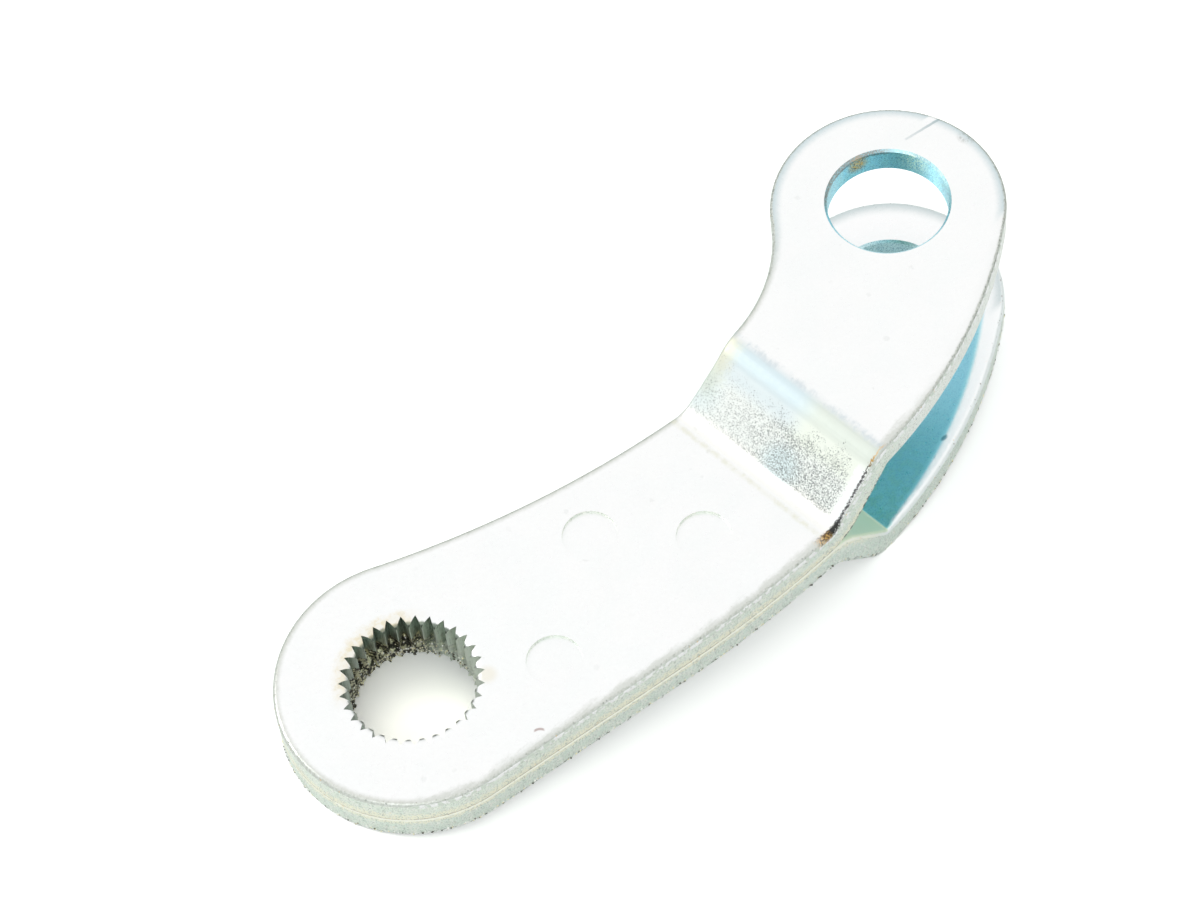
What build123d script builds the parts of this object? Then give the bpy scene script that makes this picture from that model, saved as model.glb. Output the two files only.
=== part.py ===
from build123d import *
import math
import os

# Cam lever of a drum brake: two stamped plates of one outline, spot-welded face to face along the
# arm and stepped apart into a fork. The serrated hole sits on the camshaft and turns it, and the
# fork takes the clevis pin of the brake rod.
# Millimetres and degrees. The origin is on the axis of the serrated hole, in the plane where the
# plates meet. +Z is that axis and +X points to the fork holes.

os.makedirs("parts", exist_ok=True)

# Plates and fork
plate = 3.0                   # thickness of each pressing
centre_distance = 68.0        # serrated hole to fork holes
fork_gap = 13.2               # clear width between the ears
fork_hole = 12.2              # diameter, for a 12 mm clevis pin
hole_chamfer = 0.25           # bevel of the fork holes' upper rims
edge_roll = 0.45              # die roll round the upper edge of each pressing

# Outline of the blank
hub_radius = 13.4             # round end about the serrated hole
ear_radius = 11.8             # round end about the fork holes
ear_set_back = 0.3            # the ear's round end is this much short of its hole
ear_drop = 0.3                # and this much to the full side of it
hollow_leave = 63.0           # where the hollow flank leaves the hub
hollow_arm_radius = 107.0     # slow curve along the arm
hollow_root_radius = 17.8     # quick curve under the ear
full_leave = -100.3           # where the full flank leaves the hub
full_straight = 22.5          # straight stretch of the full flank
full_belly_radius = 125.0     # slow curve past the step
full_shoulder_radius = 55.0   # curve that runs into the ear

# Step that opens the fork
ramp_angle = 47.0
fork_root = 46.6              # inner crease of the step, from the serrated hole
foot_radius = 2.6             # inner radius of the bend at the arm
root_radius = 0.6             # inner radius of the bend at the ear

# Serration 12 x 14 with 31 teeth, torn out at its lower end
serration_teeth = 31
serration_major = 14.18       # across the bottoms of the grooves
serration_minor = 12.2        # across the tips of the teeth
groove_angle = 60.0
first_groove = -4.0           # direction of one groove, from +X
mouth_roll = 0.8              # rounding that the punch leaves on the tooth ends
tear_start = -0.4             # below this height the grooves run out
tear_end = -1.8               # and from here down they are shallow
tear_major = 12.7             # across the bottoms of the shallow grooves

# Spot welds
weld_places = [(22.9, -1.6), (30.3, -9.9), (10.7, -8.7)]
mark_diameter = 5.5           # electrode mark on each outer face
mark_depth = 0.3
nugget_diameter = 5.0
nugget_reach = 0.9            # how far a nugget goes into each plate
nugget_chamfer = 0.5          # bevel of its rims

step = fork_gap / 2
length = centre_distance + hub_radius + ear_radius
tall = 2 * (step + plate)
hub = Vector(0, 0)
ear = Vector(centre_distance - ear_set_back, -ear_drop)


def polar(reach, angle):
    return Vector(reach * math.cos(math.radians(angle)), reach * math.sin(math.radians(angle)))


def toward(start, end, reach):
    return start + (end - start).normalized() * reach


def meet(a, reach_a, b, reach_b, side):
    # the point at reach_a from a and at reach_b from b, left of the line from a to b if side is 1
    gap = (b - a).length
    along = (reach_a**2 - reach_b**2 + gap**2) / (2 * gap)
    across = math.sqrt(reach_a**2 - along**2)
    ahead = (b - a).normalized()
    return a + ahead * along + Vector(-ahead.Y, ahead.X) * (side * across)


def bow(centre, start, end, turn=1):
    # the arc about a centre from start to end, counter-clockwise if turn is 1
    first = math.degrees(math.atan2(start.Y - centre.Y, start.X - centre.X))
    last = math.degrees(math.atan2(end.Y - centre.Y, end.X - centre.X))
    sweep = turn * ((turn * (last - first)) % 360)
    return CenterArc(centre, (start - centre).length, first, sweep)


def blank_outline():
    # hollow flank, on the +Y side: two arcs between the hub and the ear, curved inward
    hollow_start = polar(hub_radius, hollow_leave)
    arm_centre = polar(hub_radius + hollow_arm_radius, hollow_leave)
    root_centre = meet(arm_centre, hollow_arm_radius - hollow_root_radius,
                       ear, ear_radius + hollow_root_radius, -1)
    arm_end = toward(arm_centre, root_centre, hollow_arm_radius)
    hollow_end = toward(ear, root_centre, ear_radius)
    # full flank, on the -Y side: a straight and two arcs that bulge outward
    full_start = polar(hub_radius, full_leave)
    straight_end = full_start + polar(full_straight, full_leave + 90)
    belly_centre = straight_end - polar(full_belly_radius, full_leave)
    shoulder_centre = meet(belly_centre, full_belly_radius - full_shoulder_radius,
                           ear, full_shoulder_radius - ear_radius, -1)
    belly_end = toward(belly_centre, shoulder_centre, full_belly_radius)
    full_end = toward(shoulder_centre, ear, full_shoulder_radius)
    return make_face([
        bow(hub, hollow_start, full_start),
        Line(full_start, straight_end),
        bow(belly_centre, straight_end, belly_end),
        bow(shoulder_centre, belly_end, full_end),
        bow(ear, full_end, hollow_end),
        bow(root_centre, hollow_end, arm_end, -1),
        bow(arm_centre, arm_end, hollow_start, -1),
    ])


def stepped_strip(lift):
    # a wide strip of plate with the step pressed in, upward if lift is 1
    inset = plate / 2 * math.tan(math.radians(ramp_angle / 2))
    level = lift * plate / 2
    head = fork_root - inset
    foot = head - step / math.tan(math.radians(ramp_angle))
    middle = FilletPolyline(
        (-length, level),
        (foot, level),
        (head, level + lift * step),
        (2 * length, level + lift * step),
        radius=[foot_radius + plate / 2, root_radius + plate / 2],
    )
    section = Plane.XZ * make_face(middle.offset_2d(plate / 2))
    return extrude(section, amount=length, both=True)


def rolled_rim(pressing):
    # the edges between the plate's upper faces and its cut edge
    upper = pressing.faces().filter_by(lambda face: face.normal_at().Z > 0.3)
    cut = pressing.faces().filter_by(lambda face: abs(face.normal_at().Z) < 0.01)
    cut_edges = set(cut.edges())
    return upper.edges().filter_by(lambda edge: edge in cut_edges)


def serration():
    # a star that cuts the tooth gaps, wide enough inside to leave nothing in the bore
    depth = serration_major / 2 - 0.9 * serration_minor / 2
    half_width = depth * math.tan(math.radians(groove_angle / 2))
    groove = make_face(Polyline(
        (serration_major / 2, 0),
        (serration_major / 2 - depth, half_width),
        (serration_major / 2 - depth, -half_width),
        close=True,
    ))
    star = Sketch() + [
        Rot(0, 0, first_groove + 360 / serration_teeth * tooth) * groove
        for tooth in range(serration_teeth)
    ]
    return extrude(star, amount=tall, both=True)


def run_out(teeth):
    # the part of the star inside a body that narrows downward, so that the grooves end in a cone
    beyond = 0.3
    slope = (tear_start - tear_end) / (serration_major / 2 - tear_major / 2)
    limit = make_face(Polyline(
        (0, tall),
        (serration_major / 2 + beyond, tall),
        (serration_major / 2 + beyond, tear_start + beyond * slope),
        (tear_major / 2, tear_end),
        (tear_major / 2, -tall),
        (0, -tall),
        close=True,
    ))
    return teeth & revolve(Plane.XZ * limit, Axis.Z)


def nugget(place):
    button = Cylinder(nugget_diameter / 2, 2 * nugget_reach)
    button = chamfer(button.edges().filter_by(GeomType.CIRCLE), nugget_chamfer)
    return Pos(*place, 0) * button


def rim_at(pressing, radius, centre):
    # the highest circular edge of this radius about a vertical axis
    rings = pressing.edges().filter_by(
        lambda edge: edge.geom_type == GeomType.CIRCLE
        and abs(edge.radius - radius) < 0.001
        and math.hypot(edge.arc_center.X - centre.X, edge.arc_center.Y - centre.Y) < 0.001
    )
    return rings.sort_by(Axis.Z)[-1]


def pressing(lift, teeth):
    # one plate, welded side at z = 0, with the step going up if lift is 1 and down if it is -1
    body = stepped_strip(lift) & extrude(blank_outline(), amount=tall, both=True)
    body = fillet(rolled_rim(body), edge_roll)
    body -= Cylinder(serration_minor / 2, 4 * plate)
    if lift > 0:
        body = fillet(rim_at(body, serration_minor / 2, hub), mouth_roll)
    body -= teeth
    pin_axis = Vector(centre_distance, 0)
    body -= Pos(pin_axis) * Cylinder(fork_hole / 2, 2 * tall)
    body = chamfer(rim_at(body, fork_hole / 2, pin_axis), hole_chamfer)
    for place in weld_places:
        body -= Pos(*place, lift * plate) * Cylinder(mark_diameter / 2, 2 * mark_depth)
        body -= nugget(place)
    return body


teeth = serration()
export_step(pressing(1, teeth), "parts/upper_plate.step")
export_step(pressing(-1, run_out(teeth)), "parts/lower_plate.step")
for number, place in enumerate(weld_places, start=1):
    export_step(nugget(place), f"parts/weld_nugget_{number}.step")
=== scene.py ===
import math
from types import SimpleNamespace
import bmesh
import bpy
import numpy as np
from mathutils import Matrix, Vector
from mathutils.noise import noise as noiseAt


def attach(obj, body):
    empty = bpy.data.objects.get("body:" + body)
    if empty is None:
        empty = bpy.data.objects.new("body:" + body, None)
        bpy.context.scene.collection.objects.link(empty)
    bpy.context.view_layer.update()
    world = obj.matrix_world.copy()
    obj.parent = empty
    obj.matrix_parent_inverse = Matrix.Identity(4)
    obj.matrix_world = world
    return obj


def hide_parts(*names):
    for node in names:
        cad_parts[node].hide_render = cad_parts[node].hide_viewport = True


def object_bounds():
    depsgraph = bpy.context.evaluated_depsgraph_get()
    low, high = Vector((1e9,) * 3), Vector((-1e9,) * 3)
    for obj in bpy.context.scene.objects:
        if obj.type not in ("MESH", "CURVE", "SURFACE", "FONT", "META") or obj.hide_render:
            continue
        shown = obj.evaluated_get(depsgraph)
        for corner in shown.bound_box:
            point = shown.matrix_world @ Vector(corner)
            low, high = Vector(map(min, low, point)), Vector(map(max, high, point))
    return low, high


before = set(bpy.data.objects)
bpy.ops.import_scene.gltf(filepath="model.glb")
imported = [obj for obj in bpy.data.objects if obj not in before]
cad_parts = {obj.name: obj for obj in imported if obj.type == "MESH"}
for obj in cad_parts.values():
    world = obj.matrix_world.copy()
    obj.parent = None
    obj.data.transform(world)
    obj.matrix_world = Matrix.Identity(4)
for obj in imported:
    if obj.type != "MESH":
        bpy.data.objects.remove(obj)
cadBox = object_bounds()
print("frame loaded")

mm = 0.001
scene = bpy.context.scene
scene.view_settings.view_transform = "Standard"

# Sizes of the pressings that the finishes follow, as in the solids
pressing = dict(
    plate=3.0 * mm,
    step=6.6 * mm,
    rampAngle=math.radians(47),
    forkRoot=46.6 * mm,                 # inner crease of the step
    footRadius=2.6 * mm,
    rootRadius=0.6 * mm,
    hubRadius=13.4 * mm,
    pinAxis=Vector((68.0 * mm, 0, 0)),
    # the rest in millimetres
    weldPlaces=[(22.9, -1.6), (30.3, -9.9), (10.7, -8.7)],
    markRadius=2.75,
    aroundHub=8.0,                      # nearer to a hole's axis than this there is only the hole
    aroundPin=7.0,
    boreWall=7.4,                       # the serration's wall lies nearer to its axis than this
    tornWall=7.2,
    offBore=7.5,                        # and all else lies further away than this
)


# Camera, fitted to the photograph with the solids' own sizes
cameraView = dict(
    turn=math.radians(39.61),           # heading, from +Y towards +X
    dip=math.radians(58.34),            # how far it looks down
    roll=math.radians(-7.46),
    depth=405.5 * mm,                   # from the lens to the origin, along the view
    focalPixels=4215.3,
    originPixel=(414.8, 694.8),         # where the photograph has the origin
    imageSize=(1200, 900),
    sensorWidth=36.0,
    clipStart=10 * mm,
)


def makeCamera(v):
    right = Vector((math.cos(v["turn"]), -math.sin(v["turn"]), 0))
    heading = Vector((math.sin(v["turn"]), math.cos(v["turn"]), 0))
    ahead = heading * math.cos(v["dip"]) - Vector((0, 0, math.sin(v["dip"])))
    down = ahead.cross(right)
    turned = right * math.cos(v["roll"]) - down * math.sin(v["roll"])
    down = right * math.sin(v["roll"]) + down * math.cos(v["roll"])
    right = turned
    across, below = ((v["originPixel"][n] - v["imageSize"][n] / 2) / v["focalPixels"] * v["depth"] for n in (0, 1))
    data = bpy.data.cameras.new("camera")
    data.sensor_width = v["sensorWidth"]
    data.lens = v["focalPixels"] / v["imageSize"][0] * v["sensorWidth"]
    data.clip_start = v["clipStart"]
    camera = bpy.data.objects.new("camera", data)
    axes = Matrix((right, -down, -ahead)).transposed().to_4x4()
    camera.matrix_world = Matrix.Translation(-(right * across + down * below + ahead * v["depth"])) @ axes
    scene.collection.objects.link(camera)
    scene.camera = camera


class Nodes:
    # short calls that add nodes to one tree

    def __init__(self, tree):
        self.tree = tree

    def plug(self, value, socket):
        # a socket or a node's first output is linked, anything else becomes the input's own value
        if isinstance(value, bpy.types.Node):
            value = value.outputs[0]
        if isinstance(value, bpy.types.NodeSocket):
            self.tree.links.new(value, socket)
        else:
            socket.default_value = value

    def add(self, kind, *values, named=None, **settings):
        # the values go into the node's first inputs, the named ones into the inputs of those names
        node = self.tree.nodes.new(kind)
        for name, value in settings.items():
            setattr(node, name, value)
        for value, socket in zip(values, node.inputs):
            self.plug(value, socket)
        for name, value in (named or {}).items():
            self.plug(value, node.inputs[name])
        return node

    def calc(self, operation, *values):
        return self.add("ShaderNodeMath", *values, operation=operation).outputs[0]

    def times(self, made, *others):
        for other in others:
            made = self.calc("MULTIPLY", made, other)
        return made

    def linear(self, value, factor, rest):
        # value times factor plus rest
        return self.calc("MULTIPLY_ADD", value, factor, rest)

    def either(self, a, b):
        return self.calc("MAXIMUM", a, b)

    def ramp(self, value, low, high, start=0.0, end=1.0):
        # eased change from start to end as the value goes from low to high
        named = {"Value": value, "From Min": low, "From Max": high, "To Min": start, "To Max": end}
        return self.add("ShaderNodeMapRange", named=named, interpolation_type="SMOOTHSTEP").outputs["Result"]

    def between(self, value, low, high, soft):
        # 1 where the value lies from low to high
        return self.times(self.ramp(value, low - soft, low + soft), self.ramp(value, high + soft, high - soft))

    def mix(self, share, a, b, blend="MIX"):
        node = self.add("ShaderNodeMix", share, data_type="RGBA", blend_type=blend)
        self.plug(a, node.inputs[6])
        self.plug(b, node.inputs[7])
        return node.outputs[2]

    def coat(self, colour, *coats):
        # each coat is its share and its colour
        for share, over in coats:
            colour = self.mix(share, colour, over)
        return colour

    def vector(self, operation, *values):
        return self.add("ShaderNodeVectorMath", *values, operation=operation).outputs

    def spot(self, place, where, radius):
        return self.ramp(self.vector("DISTANCE", place, where)["Value"], radius, radius * 0.3)

    def toward(self, place, direction, origin=(0, 0)):
        # how far a place lies from the origin in a flat direction
        along = self.vector("DOT_PRODUCT", place, (*direction, 0))["Value"]
        return self.calc("SUBTRACT", along, direction[0] * origin[0] + direction[1] * origin[1])

    def stretched(self, place, scale):
        return self.vector("MULTIPLY", place, scale)[0]

    def noise(self, place, scale, detail=3.0, rough=0.5):
        named = {"Vector": place, "Scale": scale, "Detail": detail, "Roughness": rough}
        return self.add("ShaderNodeTexNoise", named=named).outputs["Fac"]

    def attribute(self, name):
        return self.add("ShaderNodeAttribute", attribute_name=name).outputs

    def use(self, group, **values):
        return self.add("ShaderNodeGroup", named=values, node_tree=group).outputs

    def clouds(self, place, size, low, high):
        return self.use(clouds, Place=place, Size=size, Low=low, High=high)["Mask"]

    def metal(self, colour, rough, rise=None):
        # the finished metal, with its rise in millimetres
        named = {"Metallic": 1, "Base Color": colour, "Roughness": rough}
        if rise is not None:
            named["Normal"] = self.add("ShaderNodeBump", named={"Distance": mm, "Height": rise})
        self.add("ShaderNodeOutputMaterial", self.add("ShaderNodeBsdfPrincipled", named=named))


def emptied(owner):
    # the node calls for a material or a world, with nothing in its tree yet
    owner.use_nodes = True
    owner.node_tree.nodes.clear()
    return Nodes(owner.node_tree)


# World, floor and lamps

studio = dict(
    zenith=(1.0, 1.0, 1.0, 1),          # what the metal mirrors overhead
    wall=(0.60, 0.64, 0.62, 1),         # and level with it
    wallTop=0.62,                       # sine of the height where the white begins
    fill=(0.95, 0.95, 0.95, 1),
    backdrop=(1, 1, 1, 1),
    floorRadius=0.55,
    floorGap=0.02 * mm,
    paper=(0.86, 0.88, 0.87, 1),
    paperSeen=(1.33, 1.35, 1.33, 1),    # the paper is overexposed, its shadow isn't
    paintedPoolColour=(2.05, 2.03, 1.92, 1),     # a pool of light painted on it under the serrated hole
    holePlace=Vector((-0.8 * mm, -2.6 * mm, -4.0 * mm)),
    holeReach=9.0 * mm,
    lampsAim=Vector((0.035, 0, 0)),
    lamps=[
        dict(name="windowLamp", place=(-0.28, 0.46, 0.40), size=0.30, power=0.9, colour=(1, 1, 1)),
        dict(name="sideLamp", place=(-0.40, -0.25, 0.40), size=0.45, power=0.3, colour=(0.95, 0.99, 1)),
    ],
)


def makeWorld():
    scene.world = bpy.data.worlds.new("studio")
    n = emptied(scene.world)
    height = n.add("ShaderNodeSeparateXYZ", n.add("ShaderNodeTexCoord").outputs["Generated"]).outputs["Z"]
    rise = n.ramp(height, 0.0, studio["wallTop"])
    mirrored = n.add("ShaderNodeBackground", n.mix(rise, studio["wall"], studio["zenith"]))
    plain = n.add("ShaderNodeBackground", studio["fill"])
    seen = n.add("ShaderNodeBackground", studio["backdrop"])
    path = n.add("ShaderNodeLightPath").outputs
    lit = n.add("ShaderNodeMixShader", path["Is Glossy Ray"], plain, mirrored)
    direct = n.either(path["Is Camera Ray"], path["Is Transmission Ray"])
    n.add("ShaderNodeOutputWorld", n.add("ShaderNodeMixShader", direct, lit, seen))


def makePaper(intoFloor):
    material = bpy.data.materials.new("paper")
    n = emptied(material)
    place = n.add("ShaderNodeTexCoord").outputs["Object"]
    # a pool of light painted on the paper under the serrated hole, for the camera only
    paintedPoolMask = n.spot(place, intoFloor @ studio["holePlace"], studio["holeReach"])
    paper = n.add("ShaderNodeBsdfDiffuse", studio["paper"])
    seen = n.add("ShaderNodeBsdfDiffuse", n.mix(paintedPoolMask, studio["paperSeen"], studio["paintedPoolColour"]))
    lit = n.add("ShaderNodeMixShader", n.add("ShaderNodeLightPath").outputs["Is Camera Ray"], paper, seen)
    # from below the floor is clear, so that the underside can be looked at
    clear = n.add("ShaderNodeBsdfTransparent")
    behind = n.add("ShaderNodeNewGeometry").outputs["Backfacing"]
    n.add("ShaderNodeOutputMaterial", n.add("ShaderNodeMixShader", behind, lit, clear))
    return material


def makeFloor():
    # the lever lies on the bend of its lower ear and on the end of its hub
    p = pressing
    tangent = math.tan(p["rampAngle"] / 2)
    restX = p["forkRoot"] - p["plate"] * tangent + (p["rootRadius"] + p["plate"]) * tangent
    ear = Vector((restX, 0, -p["step"] - p["plate"]))
    hub = Vector((-p["hubRadius"], 0, -p["plate"]))
    along = (ear - hub).normalized()
    tilt = Matrix((along, Vector((0, 1, 0)), along.cross(Vector((0, 1, 0))))).transposed().to_4x4()
    mesh = bpy.data.meshes.new("floor")
    shape = bmesh.new()
    bmesh.ops.create_circle(shape, cap_ends=True, segments=128, radius=studio["floorRadius"])
    shape.to_mesh(mesh)
    shape.free()
    floor = bpy.data.objects.new("floor", mesh)
    floor.matrix_world = Matrix.Translation((ear + hub) / 2 - tilt.col[2].to_3d() * studio["floorGap"]) @ tilt
    scene.collection.objects.link(floor)
    mesh.materials.append(makePaper(floor.matrix_world.inverted()))


def makeLamps():
    for lamp in studio["lamps"]:
        data = bpy.data.lights.new(lamp["name"], "AREA")
        data.shape = "DISK"
        data.size = lamp["size"]
        data.energy = lamp["power"]
        data.color = lamp["colour"]
        made = bpy.data.objects.new(lamp["name"], data)
        place = Vector(lamp["place"])
        aim = (place - studio["lampsAim"]).to_track_quat("Z", "Y").to_matrix().to_4x4()
        made.matrix_world = Matrix.Translation(place) @ aim
        scene.collection.objects.link(made)


makeCamera(cameraView)
makeWorld()
makeFloor()
makeLamps()
print("camera, floor and lamps made")


# Where a point of a pressing was in the flat blank, before the step was pressed in

pathSpan = dict(start=-0.03, end=0.1, flatSteps=1500, bendSteps=60, slopeSteps=300)


def middlePath(lift):
    # places along the middle of the plate's thickness, and which way its upper face looks there
    p = pressing
    half = p["plate"] / 2
    turn = p["rampAngle"]
    head = p["forkRoot"] - half * math.tan(turn / 2)
    foot = head - p["step"] / math.tan(turn)
    footBend = p["footRadius"] + half
    headBend = p["rootRadius"] + half
    footStart = foot - footBend * math.tan(turn / 2)
    headEnd = head + headBend * math.tan(turn / 2)
    angles = np.linspace(0, turn, pathSpan["bendSteps"])
    flat = np.linspace(pathSpan["start"], footStart, pathSpan["flatSteps"])[:-1]
    far = np.linspace(headEnd, pathSpan["end"], pathSpan["flatSteps"])[1:]
    footArc = np.stack([footStart + footBend * np.sin(angles), footBend * (1 - np.cos(angles))], 1)
    headArc = np.stack([headEnd - headBend * np.sin(angles[::-1]),
                        p["step"] - headBend * (1 - np.cos(angles[::-1]))], 1)
    share = np.linspace(0, 1, pathSpan["slopeSteps"])[1:-1, None]
    slope = footArc[-1] + (headArc[0] - footArc[-1]) * share
    places = np.concatenate([
        np.stack([flat, 0 * flat], 1), footArc, slope, headArc, np.stack([far, 0 * far + p["step"]], 1)])
    places[:, 1] = lift * (places[:, 1] + half)
    run = np.gradient(places, axis=0)
    run /= np.hypot(run[:, 0], run[:, 1])[:, None]
    up = np.stack([-run[:, 1], run[:, 0]], 1)
    length = np.concatenate([[0], np.cumsum(np.hypot(*np.diff(places, axis=0).T))]) + places[0, 0]
    return places, up, length


def outlineOf(shape):
    # the pieces of the outline, seen from above: where the cut edge meets the lower face
    p = pressing
    ends = []
    for edge in shape.edges:
        tilts = sorted(abs(face.normal.z) if face.normal.z < 0.3 else -1 for face in edge.link_faces)
        if len(tilts) != 2 or not 0 <= tilts[0] < 0.02 or tilts[1] < 0.3:
            continue
        a, b = (corner.co.to_2d() / mm for corner in edge.verts)
        offMarks = all((a - Vector(place)).length > p["markRadius"] + 0.4 for place in p["weldPlaces"])
        offHoles = a.length > p["aroundHub"] and (a - p["pinAxis"].to_2d() / mm).length > p["aroundPin"]
        if offMarks and offHoles and (a - b).length > 0.001:
            ends.append((*a, *b))
    return np.array(ends)


def fromOutline(points, outline):
    start, run = outline[:, :2], outline[:, 2:] - outline[:, :2]
    nearest = np.full(len(points), 1e9)
    for a, r in zip(start, run):
        share = np.clip(((points - a) @ r) / (r @ r), 0, 1)
        away = points - a - share[:, None] * r
        nearest = np.minimum(nearest, (away ** 2).sum(1))
    return np.sqrt(nearest)


def readVectors(items, field):
    values = np.zeros(len(items) * 3)
    items.foreach_get(field, values)
    return values.reshape(-1, 3)


def layBlank(mesh, lift, outline):
    # blank: length along the plate, width and height over its middle, in millimetres
    # facing: 1 on the upper face, 0 on the cut edge, -1 on the lower face
    # rim: distance from the outline, in millimetres
    places, up, length = middlePath(lift)
    points = readVectors(mesh.vertices, "co")
    nearest = np.zeros(len(points), int)
    batch = 2000
    for start in range(0, len(points), batch):
        part = points[start:start + batch, [0, 2]]
        nearest[start:start + batch] = ((part[:, None] - places[None]) ** 2).sum(2).argmin(1)
    away = points[:, [0, 2]] - places[nearest]
    height = (away * up[nearest]).sum(1)
    blank = np.stack([length[nearest], points[:, 1], height], 1) / mm
    mesh.attributes.new("blank", "FLOAT_VECTOR", "POINT").data.foreach_set("vector", blank.ravel())
    rim = fromOutline(points[:, :2] / mm, outline)
    mesh.attributes.new("rim", "FLOAT", "POINT").data.foreach_set("value", rim)
    corners = np.zeros(len(mesh.loops), int)
    mesh.loops.foreach_get("vertex_index", corners)
    normals = readVectors(mesh.corner_normals, "vector")[:, [0, 2]]
    facing = (normals * up[nearest[corners]]).sum(1)
    mesh.attributes.new("facing", "FLOAT", "CORNER").data.foreach_set("value", facing)


def sliceUp(shape, axis, cuts, wanted=None):
    # edges across the faces at each of these places, only where wanted says so
    normal = Vector([axis == n for n in range(3)])
    for cut in cuts:
        faces = [f for f in shape.faces if wanted is None or wanted(f)]
        parts = faces + list({e for f in faces for e in f.edges}) + list({v for f in faces for v in f.verts})
        bmesh.ops.bisect_plane(shape, geom=parts, dist=dressing["joined"], plane_co=normal * cut * mm, plane_no=normal)


def inBore(face):
    middle = face.calc_center_median()
    return abs(face.normal.z) < 0.5 and middle.x ** 2 + middle.y ** 2 < (pressing["boreWall"] * mm) ** 2


tear = dict(
    start=-0.35,                        # the tear begins at this height, in millimetres
    fade=0.8,                           # and is full this much lower
    depth=0.20,
    least=0.05,
    bumps=(2.6, 2.6, 1.5),              # to the millimetre
    cuts=(-2.75, -0.2, 0.25),           # heights that carry it: from, to, spacing
)


def tearBore(shape, look):
    # metal torn out of the serration's lower end, uneven round the hole
    for corner in shape.verts:
        place = corner.co / mm
        if place.to_2d().length > pressing["tornWall"] or place.z > look["start"]:
            continue
        share = min(1, (look["start"] - place.z) / look["fade"])
        turn = math.atan2(place.y, place.x)
        bumps = noiseAt(Vector([value * scale for value, scale in zip(place, look["bumps"])]))
        move = (bumps * look["depth"] + look["least"]) * share
        corner.co.x -= math.cos(turn) * move * mm
        corner.co.y -= math.sin(turn) * move * mm


rollOver = dict(
    start=47.0,                         # it runs round the ear from here, in millimetres
    end=79.5,
    sides=(-19.2, 11.6),
    growth=0.052,                       # width gained to each millimetre of length
    offset=-1.85,
    stripOffset=-1.98,                  # the same for the pale strip of painted reflection along it
    widest=1.9,
    slope=0.17,
    fade=2.0,
    finest=0.25,                        # size of the faces that carry it
    margin=1.2,                         # and how much further in they reach
)


def rollEar(shape, outline, look):
    # the shear has drawn the rim of the lower ear's inner face down a little
    level = -pressing["step"] / mm
    marked = shape.faces.layers.int.new("marked")
    faces = [f for f in shape.faces if f.calc_center_median().x > look["start"] * mm
             and level - 0.5 < f.calc_center_median().z / mm < level + 0.05]
    middles = np.array([f.calc_center_median()[:2] for f in faces]) / mm
    for face, away in zip(faces, fromOutline(middles, outline)):
        face[marked] = away < look["widest"] + look["margin"]
    for axis, low, high in ((0, look["start"], look["end"]), (1, *look["sides"])):
        sliceUp(shape, axis, np.arange(low, high, look["finest"]), lambda f: f[marked])
    corners = [v for v in shape.verts if v.co.x > look["start"] * mm and level - 0.5 < v.co.z / mm < level + 0.01]
    away = fromOutline(np.array([v.co[:2] for v in corners]) / mm, outline)
    for corner, near in zip(corners, away):
        reach = min(look["widest"], corner.co.x / mm * look["growth"] + look["offset"])
        fade = min(1, (corner.co.x / mm - look["start"]) / look["fade"])
        corner.co.z -= max(0, reach - near) * look["slope"] * fade * mm
    shape.faces.layers.int.remove(marked)


def settle(piece):
    # what the modifiers make becomes the piece's own mesh
    graph = bpy.context.evaluated_depsgraph_get()
    mesh = bpy.data.meshes.new_from_object(piece.evaluated_get(graph), preserve_all_data_layers=True, depsgraph=graph)
    piece.modifiers.clear()
    piece.data = mesh
    mesh.name = piece.name
    return mesh


dressing = dict(
    cutsAlong=(-13.0, 80.0, 1.0),       # grid that carries the finish: from, to, spacing, in millimetres
    cutsAcross=(-19.0, 13.3, 1.0),
    joined=0.0005 * mm,
    shortest=0.0002 * mm,
    sharp=math.radians(28),             # edges bent further than this stay sharp
)


def dressedCopy(node, name, lift, material):
    # the solid's own shape with its triangles joined, divided finely enough to carry the finish
    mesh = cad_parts[node].data.copy()
    mesh.name = name
    shape = bmesh.new()
    shape.from_mesh(mesh)
    bmesh.ops.remove_doubles(shape, verts=shape.verts, dist=dressing["joined"])
    bmesh.ops.dissolve_degenerate(shape, edges=shape.edges, dist=dressing["shortest"])
    sliceUp(shape, 0, np.arange(*dressing["cutsAlong"]))
    sliceUp(shape, 1, np.arange(*dressing["cutsAcross"]))
    outline = outlineOf(shape)
    if lift < 0:
        sliceUp(shape, 2, np.arange(*tear["cuts"]), inBore)
        tearBore(shape, tear)
        rollEar(shape, outline, rollOver)
    for face in shape.faces:
        face.smooth = True
    for edge in shape.edges:
        edge.smooth = len(edge.link_faces) == 2 and edge.calc_face_angle() < dressing["sharp"]
    shape.to_mesh(mesh)
    shape.free()
    piece = bpy.data.objects.new(name, mesh)
    scene.collection.objects.link(piece)
    weigh = piece.modifiers.new("weigh", "WEIGHTED_NORMAL")
    weigh.keep_sharp = True
    weigh.weight = 100
    final = settle(piece)
    layBlank(final, lift, outline)
    final.materials.clear()
    final.materials.append(material)
    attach(piece, "root")
    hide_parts(node)
    print(name, len(final.polygons), "faces")
    return piece


# Shader groups shared by the finishes


def newGroup(name, inputs, outputs):
    # inputs by name with their own values, a vector where there is none
    group = bpy.data.node_groups.new(name, "ShaderNodeTree")
    for label, value in inputs.items():
        kind = "NodeSocketVector" if value is None else "NodeSocketFloat"
        socket = group.interface.new_socket(label, in_out="INPUT", socket_type=kind)
        if value is not None:
            socket.default_value = value
    for label in outputs:
        group.interface.new_socket(label, in_out="OUTPUT", socket_type="NodeSocketFloat")
    n = Nodes(group)
    return n, n.add("NodeGroupInput").outputs, n.add("NodeGroupOutput").inputs


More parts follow.
